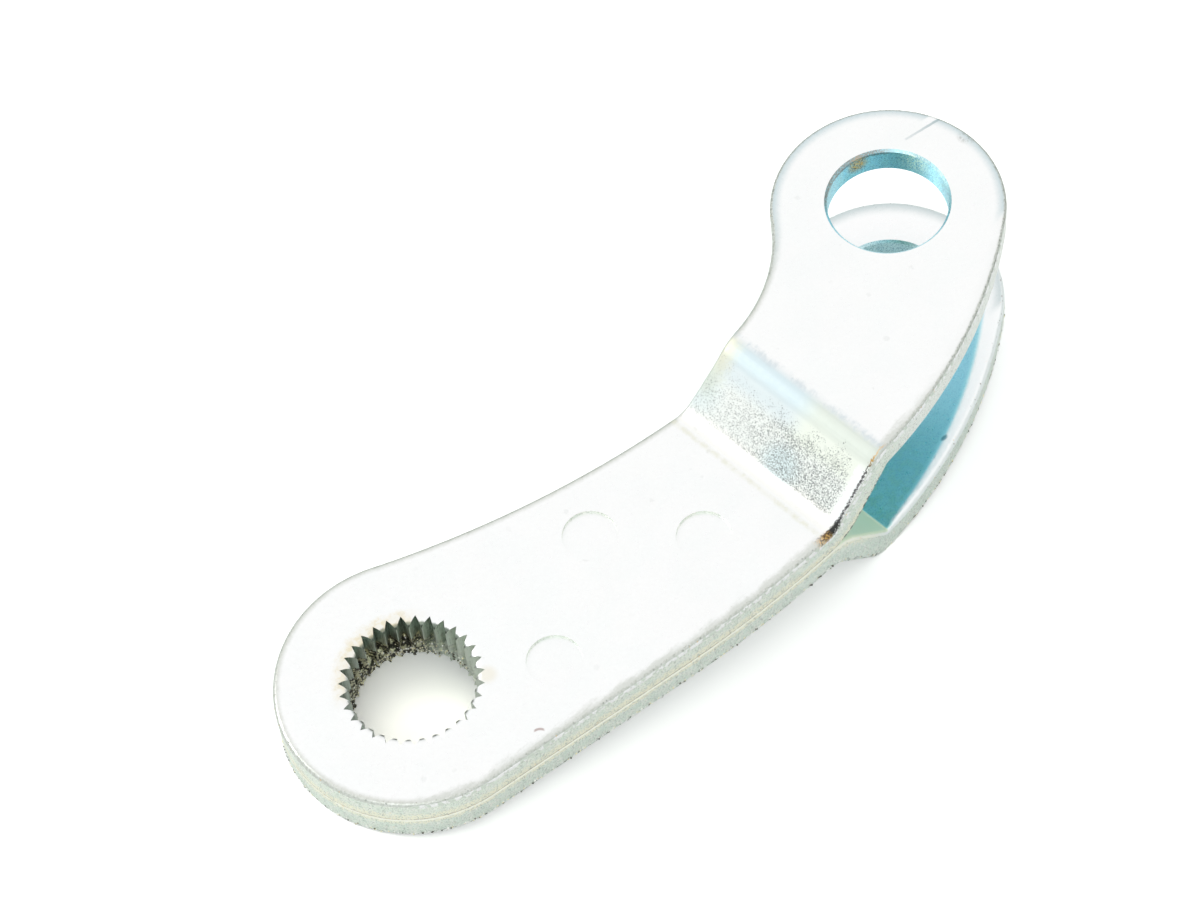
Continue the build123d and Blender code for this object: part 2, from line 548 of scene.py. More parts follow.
def makeClouds():
    # soft patches, Size in millimetres
    n, given, made = newGroup("clouds", dict(Place=None, Size=2.0, Low=0.45, High=0.6), ["Mask"])
    field = n.noise(given["Place"], n.calc("DIVIDE", 1.0, given["Size"]), 4.0, 0.6)
    n.plug(n.ramp(field, given["Low"], given["High"]), made["Mask"])
    return n.tree


def makeSpecks():
    # separate small spots, Size is their spacing in millimetres, Share how many of them are kept
    n, given, made = newGroup("specks", dict(Place=None, Size=0.5, Share=0.3), ["Mask", "Pick"])
    size = given["Size"]
    named = {"Vector": given["Place"], "Scale": n.calc("DIVIDE", 4.0, size)}
    bend = n.add("ShaderNodeTexNoise", named=named).outputs["Color"]
    wide = n.add("ShaderNodeCombineXYZ", *[n.times(size, 0.35)] * 3)
    place = n.vector("MULTIPLY_ADD", bend, wide, given["Place"])[0]
    named = {"Vector": place, "Scale": n.calc("DIVIDE", 1.0, size)}
    cells = n.add("ShaderNodeTexVoronoi", named=named).outputs
    pick = n.add("ShaderNodeSeparateColor", cells["Color"]).outputs
    kept = n.calc("LESS_THAN", pick["Red"], given["Share"])
    reach = n.linear(pick["Green"], 0.22, 0.14)
    spot = n.ramp(cells["Distance"], reach, n.times(reach, 0.55))
    n.plug(n.times(spot, kept), made["Mask"])
    n.plug(pick["Blue"], made["Pick"])
    return n.tree


def makeStreaks():
    # marks drawn through the thickness of the plate, where the shear cut it
    n, given, made = newGroup("streaks", dict(Place=None, Wide=0.2, Long=3.0), ["Tone", "Fine"])
    x, y, z = n.add("ShaderNodeSeparateXYZ", given["Place"]).outputs
    for label, share in (("Tone", 1.0), ("Fine", 0.35)):
        wide = n.times(given["Wide"], share)
        laid = [n.calc("DIVIDE", part, by) for part, by in ((x, wide), (y, wide), (z, given["Long"]))]
        n.plug(n.noise(n.add("ShaderNodeCombineXYZ", *laid), 1.0, 3.0, 0.6), made[label])
    return n.tree


def makeGrain():
    # crystalline grain of the plating: a tone about 0.5, a height and a roughness
    n, given, made = newGroup("grain", dict(Place=None, Size=0.25), ["Tone", "Height", "Roughness"])
    place, size = given["Place"], given["Size"]
    coarse = n.noise(place, n.calc("DIVIDE", 1.0, size), 5.0, 0.65)
    named = {"Vector": place, "Scale": n.calc("DIVIDE", 1.6, size)}
    cells = n.add("ShaderNodeTexVoronoi", named=named).outputs["Distance"]
    broad = n.noise(place, n.calc("DIVIDE", 0.06, size), 3.0, 0.5)
    n.plug(n.linear(n.calc("SUBTRACT", broad, 0.5), 0.6, coarse), made["Tone"])
    n.plug(n.linear(cells, -0.35, coarse), made["Height"])
    n.plug(n.ramp(coarse, 0.25, 0.75), made["Roughness"])
    return n.tree


clouds = makeClouds()
specks = makeSpecks()
streaks = makeStreaks()
grain = makeGrain()


# Finishes of the two plates, colours linear

upperLook = dict(
    name="upperZinc",
    inner=-1,                           # this face looks into the fork
    face=(0.975, 0.982, 0.978, 1),
    faceTint=(0.94, 0.97, 0.965, 1),
    armRimShade=(0.60, 0.62, 0.56, 1),       # painted shade in a soft line round the rim of the faces, arm and ear
    earRimShade=(0.56, 0.68, 0.71, 1),
    earRimReach=0.45,
    rimShare=0.85,
    innerRoot=(0.36, 0.66, 0.64, 1),
    innerMiddle=(0.36, 0.68, 0.72, 1),
    innerTip=(0.47, 0.79, 0.87, 1),
    # painted reflections: the far part of the inner face, and the strip along the drawn-down rim
    innerFarReflection=(0.50, 0.78, 0.84, 1),
    innerRimReflection=(0.60, 0.84, 0.88, 1),
    slope=(0.86, 0.92, 0.88, 1),        # the step's face on this side of the fork
    bandStart=40.6,
    cut=(0.85, 0.91, 0.80, 1),
    seamHeights=(-0.15, -0.95),         # the seam's cream tone comes in from here to here
    # painted shade of the upper plate's rolled rim
    roll=(0.56, 0.59, 0.53, 1),
    # painted shade in the grooves; the serration's tone after it is also painted lighter to the right
    grooveShade=(0.22, 0.27, 0.22, 1),
    boreLight=(0.84, 0.90, 0.80, 1),
    tornHeights=(-1.35, -1.6),
    pin=(0.38, 0.79, 0.93, 1),
    pinLight=(0.50, 0.92, 0.92, 1),
)
lowerLook = dict(
    upperLook,
    name="lowerZinc",
    inner=1,
    earRimShade=(0.60, 0.68, 0.69, 1),
    earRimReach=0.95,
    rimShare=1.0,
    innerRoot=(0.56, 0.92, 0.92, 1),
    innerMiddle=(0.42, 0.78, 0.82, 1),
    innerTip=(0.50, 0.80, 0.90, 1),
    # painted reflections: the far part of the inner face, and the strip along the drawn-down rim
    innerFarReflection=(1.0, 1.0, 1.0, 1),
    innerRimReflection=(0.99, 1.0, 1.0, 1),
    slope=(0.76, 0.86, 0.68, 1),
    bandStart=36.5,
    cut=(0.80, 0.88, 0.79, 1),
    seamHeights=(0.45, 1.0),
    # cream along the seam
    roll=(0.97, 0.97, 0.82, 1),
    tornHeights=(3.2, 2.6),
    pin=(0.70, 0.95, 1.0, 1),
    pinLight=(0.76, 0.98, 0.98, 1),
)
innerColours = dict(
    green=(0.44, 0.76, 0.60, 1),        # patches toward the fork's root
    blue=(0.26, 0.56, 0.70, 1),
    rimHighlight=(0.62, 0.96, 1.0, 1),          # painted highlight: bright line along the drawn-down rim
    nick=(0.12, 0.30, 0.36, 1),
)
cutColours = dict(
    seam=(0.99, 0.97, 0.80, 1),
    blotch=(0.74, 0.88, 0.78, 1),
    cream=(1, 1, 0.93, 1),
    ear=(1, 1, 0.98, 1),
    # painted glints
    glintSpecks=(1, 1, 0.97, 1),
    crack=(0.34, 0.22, 0.12, 1),
    highlightDull=(0.72, 0.78, 0.70, 1),     # painted highlight: broken bright line under the roll
    highlightBright=(1, 1, 1, 1),
    earRoll=(0.93, 0.97, 0.97, 1),
)
bandColours = dict(
    middle=(0.93, 0.96, 0.93, 1),
    head=(0.80, 0.87, 0.885, 1),        # painted reflection: smooth bluish strip under the head bend
    right=(0.90, 0.94, 0.86, 1),
    left=(0.79, 0.80, 0.68, 1),
    blue=(0.66, 0.84, 0.89, 1),
    foot=(0.97, 0.97, 0.93, 1),         # painted highlight: pale strip in the foot bend
    # painted shade: the line at the foot bend's start, the head bend, and the line at its end
    footShadeLine=(0.80, 0.80, 0.66, 1),
    headBend=(0.64, 0.74, 0.77, 1),
    rightBendShade=(0.68, 0.73, 0.67, 1),
    headShadeLine=(0.60, 0.68, 0.72, 1),
    speck=(0.10, 0.12, 0.12, 1),
    white=(0.97, 0.98, 0.98, 1),
)
boreColours = dict(
    streak=(0.74, 0.88, 0.77, 1),
    score=(0.10, 0.12, 0.09, 1),
    mottle=(0.90, 0.96, 0.86, 1),
    shaded=(0.16, 0.20, 0.17, 1),
    toothEndShade=(0.12, 0.15, 0.12, 1),
    torn=(0.80, 0.78, 0.58, 1),
    tornPit=(0.05, 0.05, 0.04, 1),
    # painted glint
    chipGlint=(1.0, 0.97, 0.78, 1),
    chipDark=(0.03, 0.03, 0.02, 1),
    pinDark=(0.20, 0.44, 0.52, 1),
    pinGlint=(0.80, 1.0, 0.85, 1),
)
stainAndShadeColours = dict(
    # painted shade
    shadeBlack=(0.015, 0.015, 0.015, 1),
    gold=(0.80, 0.50, 0.16, 1),
    brown=(0.16, 0.10, 0.06, 1),
    grey=(0.30, 0.33, 0.30, 1),
    halo=(0.82, 0.73, 0.50, 1),
    nick=(0.36, 0.22, 0.20, 1),
    scratch=(0.42, 0.52, 0.54, 1),
)
# places of single marks, by length along the plate and width
markPlaces = dict(
    scratch=((77.2, 3.7), (81.4, 2.8)),
    rimBlotch=(81.5, -0.7, 1.5),
    holeGold=(72.4, 5.8, 0.3),
    holeGlint=(76.4, 1.7, 0.4),
    haloSpot=(5.3, -5.0, 1.5),
    nick=(4.4, -12.8, 1.5),
    blueSpeckles=(42.0, -10.6, 1.5),
    blueFar=(43.8, 1.2, 1.5),
    innerNick=(61.0, -16.0, 1.5),
)


def surfaceParts(n, upper):
    # masks for the parts of a plate's surface, and the noises that the parts share
    at = SimpleNamespace(upper=upper)
    at.blank = n.attribute("blank")["Vector"]
    at.facing = n.attribute("facing")["Fac"]
    at.rim = n.attribute("rim")["Fac"]
    at.length, at.width, at.height = n.add("ShaderNodeSeparateXYZ", at.blank).outputs
    # distances from the two holes' axes, in millimetres
    at.flat = n.stretched(n.add("ShaderNodeTexCoord").outputs["Object"], (1000, 1000, 0))
    at.fromHub = n.vector("LENGTH", at.flat)["Value"]
    at.fromPin = n.vector("DISTANCE", at.flat, pressing["pinAxis"] / mm)["Value"]
    # right and back as the photograph sees them, 1 at the serration's wall
    at.toRight = n.toward(at.flat, (0.77 / 7, -0.64 / 7))
    at.toBack = n.toward(at.flat, (0.64 / 7, 0.77 / 7))

    at.top = n.ramp(at.facing, 0.55, 0.92)
    at.under = n.ramp(at.facing, -0.55, -0.92)
    at.inward, at.outward = (at.under, at.top) if upper else (at.top, at.under)
    at.offHoles = n.times(n.ramp(at.fromHub, 7.5, 7.7), n.ramp(at.fromPin, 6.5, 6.7))
    boreStart = n.ramp(at.toBack, 0.1, 0.7, 0.62, 0.94) if upper else 0.97
    boreFull = n.ramp(at.toBack, 0.1, 0.7, 0.30, 0.80) if upper else 0.70
    at.bore = n.times(n.ramp(at.fromHub, 7.4, 7.2), n.ramp(at.facing, boreStart, boreFull))
    at.pinHole = n.times(n.ramp(at.fromPin, 6.5, 6.4), n.ramp(at.facing, 0.97, 0.6))
    at.rolled = n.times(n.between(at.facing, 0.12, 0.93, 0.08), at.offHoles)
    side = n.ramp(n.calc("ABSOLUTE", at.facing), 0.9, 0.5)
    at.cut = n.times(side, at.offHoles, n.ramp(at.facing, 0.5, 0.1))
    at.near = n.ramp(at.width, -9.0, -10.0)
    at.far = n.calc("SUBTRACT", 1.0, at.near)
    at.onEar = n.ramp(at.length, 54.0, 64.0)

    at.finePatches = n.clouds(at.blank, 0.9, 0.42, 0.60)
    at.mottle = n.clouds(at.blank, 0.22, 0.36, 0.64)
    at.lines = n.use(streaks, Place=at.blank, Wide=0.30, Long=2.2)
    at.ragged = n.calc("SUBTRACT", n.noise(at.blank, 2.4, 4.0, 0.7), 0.5)
    at.fine = n.calc("SUBTRACT", n.noise(at.blank, 6.5, 2.0, 0.6), 0.5)
    if upper:
        # the painted highlight's tone, broken up by glints
        glints = n.clouds(n.stretched(at.blank, (0.8, 0.8, 0.6)), 0.42, 0.44, 0.53)
        at.lineTone = n.mix(glints, cutColours["highlightDull"], cutColours["highlightBright"])
    return at


def outerFace(n, look, at):
    # slightly clouded, with painted shade where it rolls over to its near edge
    colour = n.mix(n.times(n.clouds(at.blank, 5.0, 0.42, 0.62), 0.35), look["face"], look["faceTint"])
    smears = n.clouds(n.stretched(at.blank, (0.4, 1.3, 1.3)), 1.1, 0.38, 0.62)
    soft = n.linear(at.ragged, 0.8, n.linear(smears, -0.35, at.rim))
    alongArm = n.ramp(at.length, 62.0, 50.0, 0.12, 1.0)
    nearRimShade = n.times(n.ramp(soft, 1.0, 0.1), at.top, at.offHoles, at.near, alongArm, 0.62)
    return n.mix(nearRimShade, colour, look["roll"])


def innerFace(n, look, at):
    # the face that looks into the fork, and the hidden one along the arm: the passivation's blue-green tint with a
    # painted reflection of the other ear in it, painted reflections on its far part and along the drawn-down rim, and a
    # painted highlight line along that rim
    reach = n.linear(at.length, rollOver["growth"], rollOver["stripOffset"])
    strip = n.ramp(n.linear(at.fine, 0.25, at.rim), n.times(reach, 1.18), n.times(reach, 0.86))
    rimHighlight = n.ramp(n.calc("SUBTRACT", at.rim, reach), 0.55, 0.0, 0.0, 0.75)
    return n.coat(
        look["innerRoot"],
        (n.ramp(at.length, 50.0, 57.0), look["innerMiddle"]),
        (n.ramp(at.length, 56.5, 70.0), look["innerTip"]),
        (n.times(at.mottle, n.ramp(at.length, 66.0, 58.0, 0.06, 0.26)), look["innerTip"]),
        (n.times(at.finePatches, n.ramp(at.length, 64.0, 50.0, 0.0, 0.45)), innerColours["green"]),
        (n.ramp(at.fine, -0.02, -0.10, 0.0, 0.35), innerColours["blue"]),
        (n.times(n.ramp(at.width, -2.5, 0.5), n.ramp(at.length, 62.0, 66.0)), look["innerFarReflection"]),
        (n.times(rimHighlight, at.near, n.ramp(at.length, 50.0, 54.0)), innerColours["rimHighlight"]),
        (n.times(strip, n.ramp(at.length, 49.6, 50.6)), look["innerRimReflection"]))


def farRimShade(n, look, at):
    # painted shade in a soft line round the far rim of the upper faces
    reach = n.linear(at.onEar, look["earRimReach"], 0.9)
    soft = n.ramp(n.linear(at.ragged, 0.4, at.rim), reach, 0.15)
    share = n.times(soft, at.top, at.offHoles, at.far, look["rimShare"])
    return share, n.mix(at.onEar, look["armRimShade"], look["earRimShade"])


def cutEdge(n, look, at):
    # mottled, with a cream foot along the seam
    onArm = n.ramp(at.length, 46.0, 41.0)
    seam = n.times(n.ramp(n.linear(at.ragged, 2.2, at.height), *look["seamHeights"]), onArm)
    tone = n.coat(
        look["cut"],
        (n.times(at.mottle, 0.45), bandColours["white"]),
        (n.times(n.clouds(at.blank, 0.55, 0.40, 0.60), 0.35), cutColours["blotch"]),
        (n.times(at.finePatches, at.mottle, 0.6), cutColours["cream"]),
        (n.times(seam, n.ramp(at.fine, -0.12, 0.04, 0.25, 1.0)), cutColours["seam"]))
    if at.upper:
        crack = n.times(n.ramp(at.height, -1.36, -1.45), onArm, n.ramp(at.ragged, -0.16, 0.0), 0.75)
        tone = n.coat(tone, (crack, cutColours["crack"]), (n.ramp(at.length, 48.0, 54.0, 0.0, 0.6), cutColours["ear"]))
    dark = n.times(n.ramp(at.fine, 0.0, -0.10), n.ramp(at.lines["Tone"], 0.60, 0.40, 0.22, 0.50))
    # white specks painted as glints
    glintSpecks = n.use(specks, Place=at.blank, Size=0.36, Share=0.6)
    tone = n.coat(
        tone,
        (dark, stainAndShadeColours["grey"]),
        (n.times(glintSpecks["Mask"], n.ramp(glintSpecks["Pick"], 0.4, 0.6), 0.8), cutColours["glintSpecks"]))
    if at.upper:
        # the broken bright line under the roll is a painted highlight, and the dark dashed one where the fork opens is
        # painted shade between the plates
        line = n.ramp(n.linear(at.ragged, 0.35, at.height), 0.62, 0.80)
        dashes = n.clouds(n.stretched(at.blank, (1, 0.4, 0)), 0.45, 0.50, 0.54)
        # painted shade between the plates where the fork opens
        dashed = n.times(n.ramp(at.height, -1.20, -1.34), n.between(at.length, 39.5, 46.5, 0.5), dashes, 0.9)
        return n.coat(tone, (n.times(line, at.near), at.lineTone), (dashed, stainAndShadeColours["shadeBlack"]))
    # painted white glints and dark dots along the foot
    border = n.ramp(n.linear(at.ragged, 0.6, at.height), -1.12, -1.30)
    return n.coat(
        tone,
        (n.times(border, n.ramp(at.fine, 0.02, 0.10)), bandColours["white"]),
        (n.times(border, n.ramp(at.fine, -0.04, -0.12, 0.0, 0.8)), stainAndShadeColours["grey"]))


def rolledRim(n, look, at):
    # the upper plate's rim is painted grey as shade, with a painted highlight at its foot on the near side; the lower
    # plate's is cream along the seam and pale on its ear
    tone = n.mix(n.times(at.mottle, 0.4), look["roll"], bandColours["white"])
    if at.upper:
        return n.coat(
            tone,
            (n.times(n.ramp(at.fine, -0.03, -0.10), at.onEar), stainAndShadeColours["grey"]),
            (n.times(n.ramp(at.facing, 0.55, 0.30), at.near), at.lineTone))
    return n.mix(n.ramp(at.length, 44.0, 49.0), tone, cutColours["earRoll"])


def borderDots(n, at):
    # brown and golden dots along the rolled rim and the foot of the cut edge
    dots = n.use(specks, Place=at.blank, Size=0.34, Share=0.42)
    places = n.either(at.rolled, n.times(at.cut, n.ramp(at.height, -0.85, -1.25)))
    patchy = n.times(at.cut, n.ramp(at.finePatches, 0.4, 0.8), n.ramp(at.length, 42.0, 50.0, 0.6, 1.0))
    tone = n.coat(
        stainAndShadeColours["grey"],
        (n.ramp(dots["Pick"], 0.55, 0.60), stainAndShadeColours["brown"]),
        (n.ramp(dots["Pick"], 0.80, 0.84), stainAndShadeColours["gold"]))
    return n.times(dots["Mask"], n.either(places, patchy)), tone


def upperBand(n, at):
    # the upper step's face: rubbed and speckled, smoother and bluer toward the head, with painted shade in the head
    # bend and a painted reflection under it
    length, width = at.length, at.width
    bendShade = n.mix(n.ramp(width, -8.5, -12.0), bandColours["headBend"], bandColours["rightBendShade"])
    leftRim = n.ramp(n.linear(at.ragged, 1.6, at.rim), 2.6, 0.5)
    tone = n.coat(
        bandColours["foot"],
        (n.ramp(length, 40.8, 42.0), bandColours["middle"]),
        (n.ramp(length, 44.8, 46.8), bandColours["head"]),
        (n.times(n.ramp(width, -8.5, -11.5), n.ramp(length, 44.0, 46.0)), bandColours["right"]),
        (n.ramp(length, 47.3, 48.2), bendShade),
        (n.times(leftRim, n.ramp(width, -6.0, -4.0), n.ramp(length, 42.0, 44.5)), bandColours["left"]),
        (n.times(n.spot(at.blank, markPlaces["blueSpeckles"], 3.2), 0.45), bandColours["blue"]),
        (n.times(n.spot(at.blank, markPlaces["blueFar"], 4.0), 0.30), bandColours["blue"]))
    strip = n.linear(at.ragged, 1.1, at.rim)
    drifted = n.linear(n.clouds(at.blank, 2.6, 0.30, 0.66), -2.4, length)
    amount = n.times(
        n.ramp(n.linear(at.ragged, 0.8, length), 40.1, 41.3), n.ramp(drifted, 47.2, 42.8), n.ramp(width, 5.5, 2.5),
        n.either(n.ramp(strip, 1.2, 1.9), at.far), n.ramp(width, -1.0, -11.0, 0.70, 1.0))
    threshold = n.linear(amount, 0.17, -0.21)
    rubbed = n.ramp(n.calc("SUBTRACT", n.noise(at.blank, 11.0, 1.5, 0.6), 0.5),
                    n.calc("ADD", threshold, 0.025), n.calc("SUBTRACT", threshold, 0.025))
    rubbed = n.times(rubbed, n.ramp(amount, 0.02, 0.3))
    return rubbed, n.coat(
        tone,
        (n.times(rubbed, n.ramp(width, 0.0, -12.0, 0.52, 0.80)), bandColours["speck"]),
        (n.times(n.ramp(strip, 1.5, 1.2), at.near, n.ramp(length, 48.0, 46.5)), bandColours["white"]))


def bendLines(n, at, colour):
    # a pale strip of painted highlight in the foot bend, and thin lines of painted shade at its start and at the end of
    # the head bend
    frayed = n.linear(at.ragged, 0.5, at.length)
    return n.coat(
        colour,
        (n.times(n.between(at.length, 38.3, 40.5, 0.35), at.top, 0.8), bandColours["foot"]),
        (n.times(n.between(frayed, 37.5, 38.0, 0.25), at.top, n.linear(at.finePatches, 0.35, 0.25)),
         bandColours["footShadeLine"]),
        (n.times(n.between(frayed, 48.9, 49.3, 0.2), at.top, n.linear(at.finePatches, 0.45, 0.15)),
         bandColours["headShadeLine"]))


def serratedHole(n, look, at):
    # painted shade at the bottoms of the grooves, on the left and on the tooth ends at the back, painted light on the
    # right, torn and yellowish over the lower part
    grooved = n.coat(
        look["boreLight"],
        (n.ramp(at.fromHub, 6.15, 6.8), look["grooveShade"]),
        (n.times(n.ramp(at.lines["Tone"], 0.42, 0.56), 0.62), boreColours["streak"]),
        (n.times(n.ramp(at.lines["Fine"], 0.50, 0.36), 0.55), boreColours["score"]),
        (n.times(at.mottle, 0.3), boreColours["mottle"]))
    # painted shade to the left, painted light to the right
    grooved = n.mix(n.ramp(at.toRight, -0.5, 0.85, 0.65, 1.0), boreColours["shaded"], grooved)
    grooved = n.mix(n.times(n.ramp(at.toRight, 0.2, 0.9), 0.75), grooved, look["boreLight"])
    if at.upper:
        # painted shade on the tooth ends at the back
        toothEndShade = n.times(n.ramp(at.facing, 0.10, 0.35), n.ramp(at.toBack, 0.1, 0.7), 0.85)
        grooved = n.mix(toothEndShade, grooved, boreColours["toothEndShade"])
    # the cream and white chips are painted glints among dark ones
    chips = n.use(specks, Place=at.blank, Size=0.42, Share=0.85)
    chipTone = n.coat(
        boreColours["chipDark"],
        (n.ramp(chips["Pick"], 0.45, 0.5), boreColours["chipGlint"]),
        (n.ramp(chips["Pick"], 0.72, 0.76), bandColours["white"]))
    torn = n.coat(
        boreColours["torn"],
        (n.clouds(at.blank, 0.45, 0.42, 0.54), boreColours["tornPit"]),
        (chips["Mask"], chipTone),
        (n.times(n.ramp(at.toRight, -0.1, 0.8), 0.6), grooved))
    level = n.linear(at.ragged, 1.6, n.linear(at.toRight, 0.8, at.height))
    tornHere = n.times(n.ramp(level, *look["tornHeights"]), n.ramp(at.toRight, 0.5, 0.1, 0.35, 1.0))
    return n.mix(tornHere, grooved, torn)


def stainRound(n, at):
    # yellowish stain on the outer face round the serrated hole
    side = n.ramp(n.calc("DIVIDE", n.toward(at.flat, (-0.10, 0.995)), at.fromHub), 0.40, 0.85)
    ring = n.ramp(n.linear(at.ragged, 1.2, at.fromHub), 8.1, 7.0)
    halo = n.times(ring, at.outward, side, n.linear(at.finePatches, 0.6, 0.4))
    spot = n.times(n.spot(at.blank, markPlaces["haloSpot"], 1.3), at.outward, 0.45)
    return n.times(n.either(halo, spot), 0.75)


def forkHole(n, look, at):
    # blue-green wall, with stains of its own and a painted green glint
    tone = n.coat(
        look["pin"],
        (n.ramp(at.finePatches, 0.0, 1.0, 0.0, 0.45), look["pinLight"]),
        (n.times(at.mottle, 0.35), look["pinLight"]),
        (n.ramp(at.fine, 0.0, -0.10, 0.0, 0.65), boreColours["pinDark"]))
    if not at.upper:
        return tone
    scratched = n.times(n.ramp(n.linear(at.ragged, 1.2, at.height), 0.80, 1.05), n.ramp(at.width, 3.0, 5.0),
                        n.ramp(at.fine, -0.10, 0.0), 0.8)
    stained = n.spot(at.blank, markPlaces["holeGold"], 1.5)
    # painted green glint
    green = n.times(n.spot(at.blank, markPlaces["holeGlint"], 2.2), n.ramp(at.fine, -0.02, 0.05))
    return n.coat(
        tone,
        (scratched, stainAndShadeColours["brown"]),
        (n.times(stained, n.ramp(at.fine, -0.02, -0.06)), stainAndShadeColours["brown"]),
        (n.times(stained, n.ramp(at.fine, -0.02, 0.03)), stainAndShadeColours["gold"]),
        (green, boreColours["pinGlint"]))


def rimShadeAndStains(n, at, colour):
    # black line of painted shade along the near rim of the step, with golden and brown stains at its ends
    edge = n.linear(at.ragged, 0.30, n.linear(at.fine, 0.75, at.rim))
    low = n.ramp(at.length, 43.5, 38.4, 0.27, 0.02)
    high = n.ramp(at.length, 43.5, 38.4, 0.44, 0.66)
    onRim = n.times(at.near, n.ramp(at.facing, 0.02, 0.10))
    shadeBlack = n.times(
        n.ramp(edge, n.calc("SUBTRACT", low, 0.04), n.calc("ADD", low, 0.03)),
        n.ramp(edge, n.calc("ADD", high, 0.04), n.calc("SUBTRACT", high, 0.04)),
        onRim, n.between(at.length, 37.7, 48.4, 0.25), 0.96)
    goldHead = n.times(n.between(edge, 0.26, 0.44, 0.05), onRim, n.between(at.length, 47.9, 49.2, 0.3), 0.7)
    goldFoot = n.times(n.ramp(edge, 1.1, 0.4), onRim, n.between(at.length, 36.9, 38.9, 0.5),
                       n.ramp(at.fine, -0.01, 0.05), 0.75)
    brownFoot = n.times(n.ramp(edge, 0.9, 0.4), onRim, n.between(at.length, 37.0, 38.6, 0.3),
                        n.ramp(at.fine, -0.01, -0.05), 0.85)
    return n.coat(colour, (shadeBlack, stainAndShadeColours["shadeBlack"]), (goldHead, stainAndShadeColours["gold"]),
                  (goldFoot, stainAndShadeColours["gold"]), (brownFoot, stainAndShadeColours["brown"]))


def upperMarks(n, at, colour):
    # the nick on the arm and the blotch at the ear's rim
    along = n.calc("ABSOLUTE", n.toward(at.blank, (0.77, -0.64), markPlaces["nick"]))
    bowed = n.linear(n.times(along, along), 0.6, n.toward(at.blank, (0.64, 0.77), markPlaces["nick"]))
    nick = n.times(n.ramp(along, 0.6, 0.35), n.ramp(n.calc("ABSOLUTE", bowed), 0.20, 0.06), at.top, 0.65)
    blotch = n.times(n.spot(at.blank, markPlaces["rimBlotch"], 1.1), n.ramp(at.ragged, -0.1, 0.1), at.top, 0.6)
    # a scratch that runs out over the rim of the ear, with a painted highlight on one flank
    start, end = markPlaces["scratch"]
    span = math.hypot(end[0] - start[0], end[1] - start[1])
    run = ((end[0] - start[0]) / span, (end[1] - start[1]) / span)
    along = n.toward(at.blank, run, start)
    across = n.linear(at.ragged, 0.15, n.toward(at.blank, (-run[1], run[0]), start))
    scratch = n.times(n.between(along, 0.1, span, 0.15), at.top,
                      n.ramp(n.calc("ABSOLUTE", across), 0.20, 0.06), n.ramp(along, 0.0, span, 0.35, 0.8))
    highlightFlank = n.times(n.between(along, 2.7, span + 0.5, 0.4), n.between(across, 0.15, 0.9, 0.12), at.top)
    return n.coat(colour, (nick, stainAndShadeColours["nick"]), (blotch, stainAndShadeColours["grey"]),
                  (highlightFlank, bandColours["white"]), (scratch, stainAndShadeColours["scratch"]))


def zincMaterial(look):
    material = bpy.data.materials.new(look["name"])
    n = emptied(material)
    at = surfaceParts(n, look["inner"] < 0)
    onBand = n.times(n.between(at.length, look["bandStart"], 49.0, 0.25), at.top)
    rubbed, bandTone = upperBand(n, at) if at.upper else (0.0, look["slope"])
    dotted, dotTone = borderDots(n, at)
    colour = n.coat(
        outerFace(n, look, at),
        (at.inward, innerFace(n, look, at)),
        farRimShade(n, look, at),
        (at.cut, cutEdge(n, look, at)),
        (n.times(at.rolled, 0.95), rolledRim(n, look, at)),
        (n.times(dotted, 0.7), dotTone),
        (onBand, bandTone))
    if at.upper:
        colour = bendLines(n, at, colour)
    colour = n.coat(
        colour,
        (at.bore, serratedHole(n, look, at)),
        (stainRound(n, at), stainAndShadeColours["halo"]),
        (at.pinHole, forkHole(n, look, at)))
    if at.upper:
        colour = upperMarks(n, at, rimShadeAndStains(n, at, colour))
    else:
        x, y, z = markPlaces["innerNick"]
        nick = n.spot(n.stretched(at.blank, (0.5, 1, 1)), (x / 2, y, z), 0.32)
        colour = n.mix(n.times(nick, at.top, 0.8), colour, innerColours["nick"])
    # a few specks all over, and the plating's grain
    few = n.use(specks, Place=at.blank, Size=1.3, Share=0.08)
    colour = n.mix(n.times(few["Mask"], n.times(few["Pick"], 0.25)), colour, stainAndShadeColours["grey"])
    grained = n.use(grain, Place=at.blank, Size=0.35)
    shade = n.linear(n.calc("SUBTRACT", grained["Tone"], 0.5), 0.05, 1.0)
    colour = n.mix(1.0, colour, n.add("ShaderNodeCombineColor", shade, shade, shade), "MULTIPLY")
    rough = n.linear(grained["Roughness"], 0.12, 0.26)
    for share, more in ((onBand, 0.20), (at.cut, 0.10)):
        rough = n.linear(share, more, rough)
    rise = n.times(grained["Height"], 0.004)
    for share, more in ((n.times(at.cut, at.mottle), 0.02), (n.times(onBand, rubbed), -0.015), (dotted, -0.02)):
        rise = n.linear(share, more, rise)
    n.metal(colour, rough, rise)
    return material


# Steel of the welds, sealed between the plates

weldLook = dict(
    steel=(0.42, 0.42, 0.43, 1),
    straw=(0.50, 0.36, 0.18, 1),        # heat tints
    blue=(0.12, 0.16, 0.26, 1),
    scale=0.9,
)


def weldMaterial(look):
    material = bpy.data.materials.new("weldSteel")
    n = emptied(material)
    place = n.stretched(n.add("ShaderNodeTexCoord").outputs["Object"], (1000, 1000, 1000))
    grained = n.use(grain, Place=place, Size=0.25)
    colour = n.coat(
        look["steel"],
        (n.times(n.clouds(place, look["scale"], 0.45, 0.60), 0.5), look["straw"]),
        (n.times(n.clouds(place, look["scale"] * 1.7, 0.52, 0.66), 0.6), look["blue"]))
    n.metal(colour, n.linear(grained["Roughness"], 0.2, 0.45), n.times(grained["Height"], 0.02))
    return material


# Fine beads of zinc and burr along the torn and sheared borders

